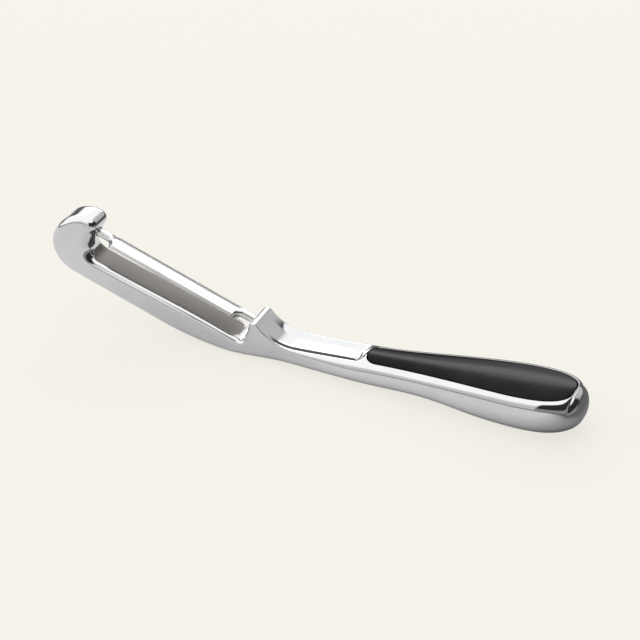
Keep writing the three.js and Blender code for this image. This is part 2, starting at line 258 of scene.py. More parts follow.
@dataclass
class Trace:
    """A plane curve of straight and round stretches, walked by its own length."""

    points: list[np.ndarray] = field(default_factory=list)
    arc_steps: int = 90
    bend_steps: int = 60

    def line(self, end: tuple[float, float], steps: int = 60) -> "Trace":
        """Go straight to a point.

        Args:
            end: the point.
            steps: how many steps that takes.

        Returns:
            The curve itself.
        """
        begin = self.points[-1]
        self.points += [mix(begin, np.array(end, float), i / steps) for i in range(1, steps + 1)]
        return self

    def arc(self, centre: tuple[float, float], radii: tuple[float, float],
            turn: tuple[float, float]) -> "Trace":
        """Go round an ellipse, or begin with one.

        Args:
            centre: the ellipse's middle.
            radii: its half sizes.
            turn: first and last angle in degrees.

        Returns:
            The curve itself.
        """
        angles = np.radians(np.linspace(turn[0], turn[1], self.arc_steps))
        for angle in angles[1 if self.points else 0:]:
            self.points.append(np.add(centre, np.multiply(radii, [math.cos(angle), math.sin(angle)])))
        return self

    def bend(self, pull: np.ndarray, end: np.ndarray) -> "Trace":
        """Go to a point along a curve that leans towards a second point.

        Args:
            pull: the point that the curve leans towards.
            end: the point that it goes to.

        Returns:
            The curve itself.
        """
        begin = self.points[-1]
        for share in np.linspace(0, 1, self.bend_steps)[1:]:
            self.points.append((1 - share) ** 2 * begin + 2 * share * (1 - share) * pull + share ** 2 * end)
        return self

    def walk(self, count: int) -> tuple[np.ndarray, np.ndarray, np.ndarray]:
        """Step along the curve evenly.

        Args:
            count: how many points to take.

        Returns:
            The points, the unit directions there, and the lengths walked.
        """
        path = np.array(self.points)
        steps = np.linalg.norm(np.diff(path, axis=0), axis=1)
        path = path[np.concatenate([[True], steps > NIL_MM])]
        length = np.concatenate([[0.0], np.cumsum(np.linalg.norm(np.diff(path, axis=0), axis=1))])
        along = np.gradient(path, length, axis=0)
        along /= np.linalg.norm(along, axis=1, keepdims=True)
        at = np.linspace(0, length[-1], count)
        points, heading = (np.stack([np.interp(at, length, row[:, k]) for k in (0, 1)], axis=1)
                           for row in (path, along))
        return points, heading / np.linalg.norm(heading, axis=1, keepdims=True), at


@dataclass(frozen=True)
class HeadPlane:
    """The head's tilted coordinates: u along the blade's axis, v square to it, in millimetres."""

    x: float
    z: float
    tilt: float

    @classmethod
    def of_joint(cls, joint: dict[str, Any]) -> "HeadPlane":
        """Read the pivot's place and lean from the blade's joint."""
        spot, axis = joint["pos_m"], joint["axis"]
        return cls(spot[0] / MM, spot[2] / MM, math.atan2(-axis[2], axis[0]))

    def point(self, u: Any, v: Any) -> np.ndarray:
        """Turn head coordinates into x and z."""
        lean, rise = math.sin(self.tilt), math.cos(self.tilt)
        return np.stack([self.x + u * rise + v * lean, self.z - u * lean + v * rise], axis=-1)

    def turned(self, vectors: np.ndarray) -> np.ndarray:
        """Turn directions in the head into directions in x and z."""
        return self.point(vectors[..., 0], vectors[..., 1]) - np.array([self.x, self.z])


@dataclass
class Station:
    """One cross-section of the casting, between a point on its top side and one on its underside."""

    top: np.ndarray
    top_in: np.ndarray
    under: np.ndarray
    under_in: np.ndarray
    half: float
    top_flat: float
    top_depth: float
    under_flat: float
    under_depth: float
    recess_half: float = 0.0
    recess_depth: float = 0.0
    crown: float = 0.0
    dish: float = 0.0
    satin_shade_half: float = 0.0
    bank: float = 3.2
    bank_ease: float = 0.4

    def top_dip(self, y: float) -> float:
        """Give the depth of the crowned or dished top below its edges' level.

        Args:
            y: place across the section.

        Returns:
            The depth, negative for a rise.
        """
        up_bank = max(0.0, abs(y) - self.top_flat + self.bank)
        climb = math.hypot(up_bank, self.bank_ease) - math.hypot(self.bank, self.bank_ease)
        return -self.dish * climb - self.crown * (1 - (y / self.top_flat) ** 2)


@dataclass
class Handle:
    """Sizes that the casting's handle and the grip inlay share, in millimetres."""

    shoulder_x: float
    neck_length: float = 17.0
    neck_height: float = 7.9
    saddle_ease: float = 5.0
    length: float = 105.19
    belly_from_end: float = 23.0
    top_height: float = 14.0
    top_bow: float = 0.55
    rim: float = 0.5
    grip_length: float = 74.2
    grip_from_end: float = 4.4
    grip_front_half: float = 5.1
    grip_half: float = 10.4
    swell_past_belly: float = 8.0
    grip_depth: float = 2.4
    crown: float = 1.0
    front_squareness: float = 2.3
    rear_squareness: float = 2.8
    clearance: float = 0.3

    def __post_init__(self) -> None:
        """Work out the places along the part, and the top's rise for each millimetre of eased run."""
        self.neck_x = self.shoulder_x + self.neck_length
        self.butt_x = self.neck_x + self.length
        self.belly_x = self.butt_x - self.belly_from_end
        self.grip_rear_x = self.butt_x - self.grip_from_end
        self.grip_front_x = self.grip_rear_x - self.grip_length
        self.swell_x = self.belly_x + self.swell_past_belly
        self.rim_rear_x = self.grip_rear_x + self.rim
        run = math.hypot(self.belly_x - self.neck_x, self.saddle_ease) - self.saddle_ease
        self.top_slope = (self.top_height - self.neck_height) / run

    def top_at(self, x: float) -> float:
        """Give the height of the handle's top on the middle plane.

        Args:
            x: place along the part.

        Returns:
            The height.
        """
        eased = math.hypot(max(0.0, x - self.neck_x), self.saddle_ease) - self.saddle_ease
        along = min(max((x - self.grip_front_x) / (self.butt_x - self.grip_front_x), 0.0), 1.0)
        return self.neck_height + self.top_slope * eased + self.top_bow * math.sin(math.pi * along) ** 2

    def grip_flank(self, x: float) -> float:
        """Half width of the inlay before its ends are rounded."""
        return float(ease(self.grip_front_half, self.grip_half, x, self.grip_front_x, self.swell_x))

    def rear_fade(self, x: float, end: float) -> float:
        """Share of a width that is left between the belly and a rounded rear end."""
        return rounded_end((x - self.belly_x) / (end - self.belly_x), self.rear_squareness)

    def recess_half_at(self, x: float) -> float:
        """Give the half width of the recess, which is the inlay's plan grown by the clearance.

        Args:
            x: place along the part.

        Returns:
            The half width.
        """
        middle = (self.grip_front_x + self.grip_rear_x) / 2
        at = middle + (x - middle) / (1 + 2 * self.clearance / self.grip_length)
        from_tip = (self.grip_front_x + self.grip_front_half - at) / self.grip_front_half
        front = rounded_end(from_tip, self.front_squareness)
        return self.grip_flank(at) * front * self.rear_fade(at, self.grip_rear_x) + self.clearance


@dataclass(frozen=True)
class PolishedChrome:
    """Bright chromium plate over a zinc casting: a near mirror, but duller in the pocket no wheel reaches,
    where a darker colour is painted shade from the blade above.
    """

    pale: str = "#D2D2D2"
    cool: str = "#CACBCC"
    # The pocket's colour is painted shade from the blade above on top of its duller finish, so it is far
    # darker than the plate
    satin: str = "#8C8885"
    haze_mm: float = 9.0
    ripple_mm: float = 14.0
    grit_mm: float = 0.5
    relief_mm: float = 0.02
    roughness: tuple[float, float] = (0.03, 0.06)
    satin_roughness: float = 0.6

    def material(self) -> bpy.types.Material:
        """Build the material.

        Returns:
            The material.
        """
        made, tree = blank_material("chrome_plated_zinc_polished")
        spot = add(tree, "ShaderNodeTexCoord", {}, "Object")
        pocket = add(tree, "ShaderNodeAttribute", {}, "Fac", attribute_name="satin")
        haze = add(tree, NOISE, {"Vector": spot, "Scale": 1 / (self.haze_mm * MM), "Detail": 6.0,
                                 "Roughness": 0.6})
        # The buffing wheel leaves faint cloudy patches, seen only where a reflection is soft
        rough = add(tree, RANGE, {"Value": haze, "From Min": 0.35, "From Max": 0.7,
                                  "To Min": self.roughness[0], "To Max": self.roughness[1]})
        rough = add(tree, RANGE, {"Value": pocket, "To Min": rough, "To Max": self.satin_roughness})
        tint = add(tree, RAMP, {"Fac": haze}, stops=((0.3, self.cool), (0.75, self.pale)))
        # Painted shade: the pocket under the blade gets the darker colour, standing in for the blade's shade
        # on it
        tone = add(tree, BLEND, {"Factor": pocket, "A": tint, "B": linear(self.satin)}, data_type="RGBA")
        # The casting under the plate isn't quite true, so long reflections waver a little
        ripple = add(tree, NOISE, {"Vector": spot, "Scale": 1 / (self.ripple_mm * MM), "Detail": 1.0})
        wave = add(tree, BUMP, {"Height": ripple, "Strength": 0.25, "Distance": self.relief_mm * MM})
        # The pocket keeps the blasted casting's grit, about 0.1 mm and drawn coarser here so that it shows
        grit = add(tree, NOISE, {"Vector": spot, "Scale": 1 / (self.grit_mm * MM), "Detail": 2.0})
        height = add(tree, MATH, {0: grit, 1: pocket}, operation="MULTIPLY")
        blast = add(tree, BUMP, {"Height": height, "Strength": 0.15, "Distance": self.relief_mm * MM,
                                 "Normal": wave})
        feed(tree.nodes["Principled BSDF"],
             {"Base Color": tone, "Roughness": rough, "Normal": blast, "Metallic": 1.0})
        return made


@dataclass(frozen=True)
class SoftTouchRubber:
    """Moulded black elastomer with a soft-touch skin: dull black that greys at a glancing angle."""

    deep: str = "#0A0A0B"
    worn: str = "#121212"
    cloud_mm: float = 7.0
    grain_mm: float = 0.35
    relief_mm: float = 0.03
    roughness: tuple[float, float] = (0.15, 0.2)
    gloss: float = 0.07

    def material(self) -> bpy.types.Material:
        """Build the material.

        Returns:
            The material.
        """
        made, tree = blank_material("soft_touch_elastomer_moulded")
        spot = add(tree, "ShaderNodeTexCoord", {}, "Object")
        cloud = add(tree, NOISE, {"Vector": spot, "Scale": 1 / (self.cloud_mm * MM), "Detail": 5.0})
        tint = add(tree, RAMP, {"Fac": cloud}, stops=((0.35, self.deep), (0.7, self.worn)))
        rough = add(tree, RANGE, {"Value": cloud, "From Min": 0.3, "From Max": 0.7,
                                  "To Min": self.roughness[0], "To Max": self.roughness[1]})
        # The mould's spark grain is about 0.05 mm, drawn coarser here so that it shows
        grain = add(tree, NOISE, {"Vector": spot, "Scale": 1 / (self.grain_mm * MM), "Detail": 2.0})
        bump = add(tree, BUMP, {"Height": grain, "Strength": 0.2, "Distance": self.relief_mm * MM})
        feed(tree.nodes["Principled BSDF"],
             {"Base Color": tint, "Roughness": rough, "Normal": bump, "Specular IOR Level": self.gloss})
        return made


@dataclass(frozen=True)
class GroundStainless:
    """Stainless strip ground along its length: bright and softly dulled, with fine lengthwise lines."""

    pale: str = "#E4E4E2"
    dull: str = "#D5D5D3"
    line_mm: float = 0.3
    run_mm: float = 12.0
    relief_mm: float = 0.004
    roughness: tuple[float, float] = (0.22, 0.32)

    def material(self, tilt: float) -> bpy.types.Material:
        """Build the material.

        Args:
            tilt: lean of the blade's axis, which the grinding lines follow.

        Returns:
            The material.
        """
        made, tree = blank_material("stainless_steel_ground")
        spot = add(tree, "ShaderNodeTexCoord", {}, "Object")
        grain = (self.run_mm * MM, self.line_mm * MM, self.line_mm * MM)
        along = add(tree, "ShaderNodeMapping", {"Vector": spot, "Rotation": (0.0, tilt, 0.0), "Scale": grain},
                    vector_type="TEXTURE")
        # Grinding lines are about 0.05 mm apart, drawn coarser here so that they show
        lines = add(tree, NOISE, {"Vector": along, "Scale": 1.0, "Detail": 3.0})
        tint = add(tree, RAMP, {"Fac": lines}, stops=((0.3, self.dull), (0.7, self.pale)))
        rough = add(tree, RANGE, {"Value": lines, "From Min": 0.3, "From Max": 0.7,
                                  "To Min": self.roughness[0], "To Max": self.roughness[1]})
        bump = add(tree, BUMP, {"Height": lines, "Strength": 0.06, "Distance": self.relief_mm * MM})
        feed(tree.nodes["Principled BSDF"],
             {"Base Color": tint, "Roughness": rough, "Normal": bump, "Metallic": 1.0})
        return made


@dataclass
class CastFrame:
    """The plated casting: hook, arm, shoulder, saddle and handle, skinned over cross-sections."""

    head: HeadPlane
    handle: Handle
    finish: PolishedChrome = field(default_factory=PolishedChrome)
    # Sizes of the head, in millimetres, degrees or shares
    half_width: float = 6.2
    edge_radius: float = 2.6
    foot_edge: float = 1.9
    slim_share: float = 0.3
    pivot_span: float = 64.2
    floor_drop: float = 7.5
    arm_thickness: float = 10.5
    hook_reach: float = 11.64
    hook_rise: float = 13.4
    hook_setback: float = 3.0
    hook_fillet: float = 4.2
    lip_radius: float = 2.8
    lip_narrowing: float = 0.6
    lip_shares: tuple[float, float] = (0.0, 0.45)
    nose_angles: tuple[float, float] = (43.0, 47.0)
    wall_edge: float = 5.2
    stem_begins: tuple[float, float] = (0.1, 0.3)
    stem_ends: tuple[float, float] = (0.6, 1.0)
    floor_sag: float = 1.2
    sag_from: float = 0.2
    satin_shade_half: float = 4.4
    satin_shade_climb: float = 0.8
    satin_shade_blur: float = 0.2
    pocket_round: float = 5.3
    pocket_from_wall: float = 0.9
    bend_radius: float = 95.0
    shoulder_fillet: float = 2.2
    foot_ahead: float = 0.7
    ridge_back: float = 2.2
    ridge_rise: float = 3.2
    ridge_round: float = 0.35
    ridge_fall: float = 0.8
    sharpen_from: float = 0.55
    crease_radius: float = 0.2
    bore_radius: float = 1.9
    bore_depth: float = 3.5
    bore_mouth: float = 1.0
    # Sizes of the neck and handle
    side_bulge: float = 2.6
    dish_steep: float = 0.36
    dish_gentle: float = 0.245
    gentle_past_neck: float = 8.0
    hollow_begins: tuple[float, float] = (1.0, 8.0)
    hollow_end: float = 3.5
    crown_run: float = 7.0
    underside_arch: float = 1.3
    land_length: float = 8.0
    butt_height: float = 8.8
    butt_squareness: float = 2.7
    butt_turn: float = 0.998
    top_squareness: float = 2.0
    least_top_share: float = 0.15
    corner_share: float = 0.5
    neck_flat_share: float = 0.02
    belly_flat_share: float = 0.24
    strip_share: float = 0.6
    strip_run: float = 9.0
    recess_share: float = 0.97
    rim_bevel: float = 0.1
    # How finely it is drawn
    hook_cuts: int = 120
    arm_cuts: int = 80
    shoulder_cuts: int = 260
    saddle_steps: int = 160
    end_cuts: int = 50
    recess_cuts: int = 220
    wall_steps: int = 200
    climb_steps: int = 120
    strip_points: int = 9
    bank_bias: float = 0.7
    corner_points: int = 14
    land_points: int = 5
    side_shares: tuple[float, ...] = (0.25, 0.5, 0.75)
    bore_sides: int = 64
    crisp_deg: float = 34.0

    def __post_init__(self) -> None:
        """Work out the ridge's crest, and the level of the arm's underside in the head."""
        self.crest = self.head.point(self.ridge_back, self.ridge_rise)
        self.outer = -self.floor_drop - self.arm_thickness

    def underside(self, x: float) -> tuple[np.ndarray, np.ndarray]:
        """Follow the casting's underside.

        Args:
            x: place along the part.

        Returns:
            The point on the middle plane and the direction into the metal.
        """
        low = self.head.point(0.0, self.outer)
        corner = low[0] + low[1] / math.tan(self.head.tilt)
        reach = self.bend_radius * math.tan(self.head.tilt / 2)
        start, end = corner - reach * math.cos(self.head.tilt), corner + reach
        land = self.handle.belly_x - self.land_length
        height, slope = 0.0, 0.0
        if x < start:
            slope = -math.tan(self.head.tilt)
            height = (x - corner) * slope
        elif x < end:
            drop = math.sqrt(self.bend_radius ** 2 - (end - x) ** 2)
            height, slope = self.bend_radius - drop, -(end - x) / drop
        elif self.handle.grip_front_x < x < land:
            share = (x - self.handle.grip_front_x) / (land - self.handle.grip_front_x)
            height = self.underside_arch * math.sin(math.pi * share) ** 2
        inward = np.array([-slope, 1.0])
        return np.array([x, height]), inward / np.linalg.norm(inward)

    def under_corner(self, x: float, half: float, tall: float) -> tuple[float, float]:
        """Give the underside's flat half width and corner height.

        Args:
            x: place along the part.
            half: half width of the section.
            tall: height of the section.

        Returns:
            The flat half width and the corner's height.
        """
        neck_x, first = self.handle.neck_x, self.head.point(-self.shoulder_fillet, self.outer)[0]
        around = float(smoothstep(x, first, neck_x))
        flat_share = float(ease(self.neck_flat_share, self.belly_flat_share, x, neck_x, self.handle.belly_x))
        return (mix(half - self.foot_edge, flat_share * half, around),
                mix(self.foot_edge, self.corner_share * tall, around))

    def head_station(self, top: np.ndarray, top_in: np.ndarray, under: np.ndarray, under_in: np.ndarray,
                     half: float, edges: tuple[float, float], satin_shade_half: float) -> Station:
        """Make a section of the head.

        Args:
            top: point on the blade's side.
            top_in: direction into the metal there.
            under: point on the outer side.
            under_in: direction into the metal there.
            half: half width.
            edges: radius of the edges on the blade's side and on the outer side.
            satin_shade_half: half width of the unpolished pocket, which also gets painted shade, nil outside
                it.

        Returns:
            The section.
        """
        flat, under_flat = half - edges[0], half - edges[1]
        return Station(top, top_in, under, under_in, half, flat, edges[0], under_flat, edges[1],
                       self.strip_share * flat, satin_shade_half=satin_shade_half)

    def floor_level(self, u: float) -> float:
        """Level of the floor under the blade, which sags towards the hook."""
        deep = smoothstep(-u, self.sag_from * self.pivot_span, self.pivot_span - self.hook_fillet)
        return -self.floor_drop - self.floor_sag * float(deep)

    def satin_shade_at(self, u: float) -> float:
        """Give the half width of the unpolished pocket, which also gets painted shade, round at both ends.

        Args:
            u: place along the blade's axis.

        Returns:
            The half width, nil outside the pocket.
        """
        hook_end = self.pocket_round + self.pocket_from_wall - self.pivot_span
        past = max(hook_end - u, u + self.shoulder_fillet + self.pocket_round, 0.0)
        return min(math.sqrt(max(self.pocket_round ** 2 - past ** 2, 0.0)), self.satin_shade_half)

    def hook(self) -> list[Station]:
        """Fan sections from the lip round to the arm.

        Returns:
            The sections.
        """
        wall, floor, fillet = -self.pivot_span, -self.floor_drop, self.hook_fillet
        low, crest, centre = floor - self.floor_sag, floor + self.hook_rise, wall - self.hook_setback
        lip, round_lip = (wall - self.lip_radius, crest - self.lip_radius), (self.lip_radius, self.lip_radius)
        inside = Trace().arc(lip, round_lip, (self.nose_angles[0], 0))
        inside.line((wall, low + fillet), self.wall_steps)
        inside.arc((wall + fillet, low + fillet), (fillet, fillet), (180, 270))
        outside = Trace().arc(lip, round_lip, (self.nose_angles[1], 90)).line((centre, crest))
        outside.arc((centre, floor), (self.hook_reach, self.hook_rise), (90, 180))
        outside.arc((centre, floor), (self.hook_reach, self.arm_thickness), (180, 270))
        outside.line((wall + fillet, self.outer))
        tops, top_way, _ = inside.walk(self.hook_cuts)
        unders, under_way, _ = outside.walk(self.hook_cuts)
        top_in = self.head.turned(np.stack([top_way[:, 1], -top_way[:, 0]], axis=1))
        under_in = self.head.turned(np.stack([-under_way[:, 1], under_way[:, 0]], axis=1))
        shares = np.linspace(0, 1, self.hook_cuts)
        halves = self.half_width - self.lip_narrowing * (1 - smoothstep(shares, *self.lip_shares))
        stem = smoothstep(shares, *self.stem_begins) * (1 - smoothstep(shares, *self.stem_ends))
        edges = [(edge, self.edge_radius) for edge in mix(self.edge_radius, self.wall_edge, stem)]
        satin_shade_shares = [self.satin_shade_at(u) if v < low + self.satin_shade_climb * fillet else 0.0 for u, v in tops]
        tops, unders = self.head.point(*tops.T), self.head.point(*unders.T)
        return [self.head_station(*row) for row in zip(tops, top_in, unders, under_in, halves, edges, satin_shade_shares)]

    def arm(self) -> list[Station]:
        """Step along the floor under the blade.

        Returns:
            The sections.
        """
        made = []
        inward = self.head.turned(np.array([0.0, -1.0]))
        ends = -self.pivot_span + self.hook_fillet, -self.shoulder_fillet
        for u in np.linspace(*ends, self.arm_cuts)[1:-1]:
            under, under_in = self.underside(self.head.point(u, self.outer)[0])
            edge = float(ease(self.edge_radius, self.foot_edge, u, -self.slim_share * self.pivot_span, 0.0))
            made.append(self.head_station(self.head.point(u, self.floor_level(u)), inward, under, under_in,
                                          self.half_width, (edge, edge), self.satin_shade_at(u)))
        return made

    def saddle_height(self, x: float) -> float:
        """Give the height of the round saddle between the ridge and the neck.

        Args:
            x: place along the part.

        Returns:
            The height.
        """
        low, neck_x = self.handle.neck_height, self.handle.neck_x
        rise, run = self.crest[1] - low, neck_x - self.crest[0]
        radius = (rise ** 2 + run ** 2) / (2 * rise)
        return low + radius - math.sqrt(radius ** 2 - (neck_x - x) ** 2)

    def shoulder(self) -> list[Station]:
        """Climb the shoulder's wall, turn over the ridge and go down the saddle.

        Returns:
            The sections.
        """
        floor, fillet, neck_x = -self.floor_drop, self.shoulder_fillet, self.handle.neck_x
        wall = Trace([np.array([-fillet, floor])]).arc((-fillet, floor + fillet), (fillet, fillet), (-90, 0))
        wall.line((0.0, self.ridge_rise - self.ridge_back), self.climb_steps)
        wall.bend(np.array([0.0, self.ridge_rise - self.ridge_back / 4]),
                  np.array([self.ridge_back, self.ridge_rise]))
        climb = self.head.point(*np.array(wall.points).T)
        path = Trace(list(climb[np.linalg.norm(climb - self.crest, axis=1) > self.ridge_round]))
        first_x = self.crest[0] + self.ridge_fall * self.ridge_round
        path.bend(self.crest, np.array([first_x, self.saddle_height(first_x)]))
        ridge_at = len(path.points) - path.bend_steps // 2
        path.points += [np.array([x, self.saddle_height(x)])
                        for x in np.linspace(first_x, neck_x, self.saddle_steps)[1:]]
        steps = np.linalg.norm(np.diff(np.array(path.points), axis=0), axis=1)
        ridge_length = np.cumsum(steps)[ridge_at - 1]
        tops, way, at = path.walk(self.shoulder_cuts)
        start_x = self.head.point(-fillet, self.outer)[0]
        foot_x = self.head.point(self.foot_edge, floor + fillet)[0] + self.foot_ahead
        under_x = np.interp(at, [0, QUARTER * fillet, ridge_length, at[-1]],
                            [start_x, foot_x, self.crest[0], neck_x])
        made = []
        for top, heading, length, x in zip(tops, way, at, under_x):
            half, crown, dish = self.half_width, 0.0, 0.0
            if length < ridge_length:
                climbed = length / ridge_length
                depth = float(ease(self.foot_edge, self.crease_radius, climbed, self.sharpen_from, 1.0))
                flat = half - depth
            else:
                half, flat, depth, crown = self.flank(top[0], self.handle.neck_height)
                dish = self.dish_at(top[0])
            inward = np.array([heading[1], -heading[0]])
            made.append(Station(top, inward, *self.underside(x), half, flat, depth,
                                *self.under_corner(x, half, self.handle.neck_height),
                                self.strip_share * flat, crown=crown, dish=dish))
        return made

    def dish_at(self, x: float) -> float:
        """Give the slope of the banks of the thumb's hollow, which runs from the ridge to the inlay.

        Args:
            x: place along the part.

        Returns:
            The slope, nil outside the hollow.
        """
        crest_x, front = self.crest[0], self.handle.grip_front_x
        slope = ease(self.dish_steep, self.dish_gentle, x,
                     crest_x, self.handle.neck_x + self.gentle_past_neck)
        slope += 2 * self.crown_at(x) / (self.handle.grip_front_half + self.handle.rim)
        begun = smoothstep(x, *(crest_x + past for past in self.hollow_begins))
        return float(slope * begun * (1 - smoothstep(x, front - self.hollow_end, front)))

    def crown_at(self, x: float) -> float:
        """Rise of the top's middle over its edges, before the butt."""
        front = self.handle.grip_front_x
        return self.handle.crown * float(smoothstep(x, front - self.crown_run, front))

    def flank(self, x: float, tall: float) -> tuple[float, float, float, float]:
        """Give the upper side of a neck or handle section.

        Args:
            x: place along the part.
            tall: height of the section.

        Returns:
            Half width, half width of the top, depth of the top corner, and the top's crown.
        """
        handle = self.handle
        soft = float(smoothstep(x, self.crest[0], handle.grip_front_x))
        neck = float(ease(self.half_width - self.crease_radius, handle.grip_front_half + handle.rim,
                          x, handle.shoulder_x, handle.grip_front_x))
        at = min(x, handle.belly_x)
        flat = neck if x < handle.grip_front_x else handle.grip_flank(at) + handle.rim
        half = flat + mix(self.crease_radius, self.side_bulge, soft)
        half *= rounded_end((x - handle.belly_x) / handle.belly_from_end, self.butt_squareness)
        fade = handle.rear_fade(x, handle.rim_rear_x)
        flat = min(max(flat * fade, self.least_top_share * half), half)
        return half, flat, mix(self.crease_radius, self.corner_share * tall, soft), fade * self.crown_at(x)

    def handle_station(self, x: float, recess_half: float, recess_depth: float) -> Station:
        """Make an upright section of the handle.

        Args:
            x: place along the part.
            recess_half: half width of the recess, or of the plain strip there.
            recess_depth: depth of the recess, nil outside it.

        Returns:
            The section.
        """
        handle = self.handle
        fall = rounded_end((x - handle.grip_rear_x) / handle.grip_from_end, self.top_squareness)
        top = mix(self.butt_height, handle.top_at(x), fall)
        turn = rounded_end((x - handle.belly_x) / handle.belly_from_end, self.butt_squareness)
        under = mix(self.butt_height, self.underside(x)[0][1], turn)
        half, flat, depth, crown = self.flank(x, top - under)
        return Station(np.array([x, top]), np.array([0.0, -1.0]), np.array([x, under]), np.array([0.0, 1.0]),
                       half, flat, depth, *self.under_corner(x, half, top - under),
                       min(recess_half, self.recess_share * flat), recess_depth, crown, self.dish_at(x))

    def grip_handle(self) -> list[Station]:
        """Step along the handle, with the recess let into its top, to the butt.

        Returns:
            The sections.
        """
        handle = self.handle
        front, rear = handle.grip_front_x - handle.clearance, handle.grip_rear_x + handle.clearance
        made = []
        for x in np.linspace(handle.neck_x, front, self.end_cuts)[1:]:
            spread = ease(self.strip_share * self.flank(x, handle.neck_height)[1], handle.clearance,
                          x, front - self.strip_run, front)
            made.append(self.handle_station(x, spread, 0.0))
        angles = np.linspace(-QUARTER, QUARTER, self.recess_cuts)
        for x in (front + rear) / 2 + np.sin(angles) * (rear - front) / 2:
            made.append(self.handle_station(x, handle.recess_half_at(x), handle.grip_depth))
        last = math.asin((rear - handle.belly_x) / handle.belly_from_end)
        for angle in np.linspace(last, self.butt_turn * math.pi / 2, self.end_cuts):
            x = handle.belly_x + handle.belly_from_end * math.sin(angle)
            made.append(self.handle_station(x, handle.clearance, 0.0))
        return made

    def corner(self, flat: float, half: float, depth: float) -> list[tuple[float, float]]:
        """Round a section's corner, from its flat out to its side: place across and depth."""
        return [(flat + (half - flat) * math.sin(a), depth * (1 - math.cos(a)))
                for a in np.radians(np.linspace(0, 90, self.corner_points))]

    def ring(self, cut: Station) -> tuple[np.ndarray, np.ndarray]:
        """Lay one section's points from the middle of its top round to the middle again.

        Args:
            cut: the section.

        Returns:
            The ring's points in millimetres, and at each the share of the unpolished pocket, which also gets
            painted shade.
        """
        bevel = self.rim_bevel if cut.recess_depth else 0.0
        even = np.linspace(0, 1, self.strip_points)
        spots = [(y, cut.recess_depth or cut.top_dip(y)) for y in cut.recess_half * even]
        spots.append((cut.recess_half, cut.top_dip(cut.recess_half) + bevel))
        edge = min(cut.recess_half + bevel, cut.top_flat)
        spots += [(y, cut.top_dip(y)) for y in mix(edge, cut.top_flat, even ** self.bank_bias)]
        spots += self.corner(cut.top_flat, cut.half, cut.top_depth)[1:]
        upper = [(*(cut.top + cut.top_in * depth), y) for y, depth in spots]
        satin = np.zeros(len(spots))
        # The pocket's share marks both its duller finish and its painted shade
        if cut.satin_shade_half:
            across = np.array([y for y, _ in spots])
            satin = 1 - smoothstep(across, cut.satin_shade_half - self.satin_shade_blur, cut.satin_shade_half + self.satin_shade_blur)
        spots = self.corner(cut.under_flat, cut.half, cut.under_depth)[::-1]
        spots += [(cut.under_flat * s, 0.0) for s in np.linspace(1, 0, self.land_points)[1:]]
        lower = [(*(cut.under + cut.under_in * depth), y) for y, depth in spots]
        sides = [tuple(mix(np.array(upper[-1]), np.array(lower[0]), s)) for s in self.side_shares]
        half = np.array(upper + sides + lower)[:, [0, 2, 1]]
        shares = np.concatenate([satin, np.zeros(len(half) - len(satin))])
        return (np.concatenate([half, half[-2:0:-1] * np.array([1, -1, 1])]),
                np.concatenate([shares, shares[-2:0:-1]]))

    def mesh(self) -> bpy.types.Mesh:
        """Skin the sections and drill the two blind bores.

        Returns:
            The casting's mesh.
        """
        cuts = self.hook() + self.arm() + self.shoulder() + self.grip_handle()
        rings, satin_shade_shares = zip(*(self.ring(cut) for cut in cuts))
        count = len(rings[0])
        faces: list[tuple[int, ...]] = []
        for row in range(len(rings) - 1):
            for i in range(count):
                here, beside = row * count + i, row * count + (i + 1) % count
                faces.append((here, here + count, beside + count, beside))
        last = (len(rings) - 1) * count
        faces += [tuple(range(count)), tuple(range(last, last + count))]
        return self.drilled(finished_mesh("plated_casting", np.concatenate(rings), faces, self.crisp_deg,
                                          {"satin": np.concatenate(satin_shade_shares)}))

    def drilled(self, mesh: bpy.types.Mesh) -> bpy.types.Mesh:
        """Cut the two blind bores on the blade's axis.

        Args:
            mesh: the casting without its bores.

        Returns:
            The casting with them.
        """
        blank = show("casting_blank", mesh)
        spares = [blank]
        turn = Matrix.Rotation(self.head.tilt, 4, "Y") @ Matrix.Rotation(QUARTER, 4, "Y")
        for start, end in ((-self.pivot_span - self.bore_depth, -self.pivot_span + self.bore_mouth),
                           (-self.bore_mouth, self.bore_depth)):
            form = bmesh.new()
            middle = self.head.point((start + end) / 2, 0.0)
            spot = Matrix.Translation(Vector((middle[0], 0.0, middle[1])) * MM)
            radius = self.bore_radius * MM
            bmesh.ops.create_cone(form, cap_ends=True, segments=self.bore_sides, radius1=radius,
                                  radius2=radius, depth=(end - start) * MM, matrix=spot @ turn)
            cutter = bpy.data.meshes.new("bore")
            form.to_mesh(cutter)
            form.free()
            cut = blank.modifiers.new("bore", "BOOLEAN")
            cut.operation, cut.solver, cut.object = "DIFFERENCE", "EXACT", show("bore", cutter)
            spares.append(cut.object)
        made = evaluated(blank, "plated_casting")
        for spare in spares:
            bpy.data.objects.remove(spare)
        mend(made, self.crisp_deg)
        return made

    def build(self) -> None:
        """Build the casting and dress it."""
        place("plated_casting", self.mesh(), self.finish.material(), "cast_frame", Body.FRAME, Slot.CASTING)


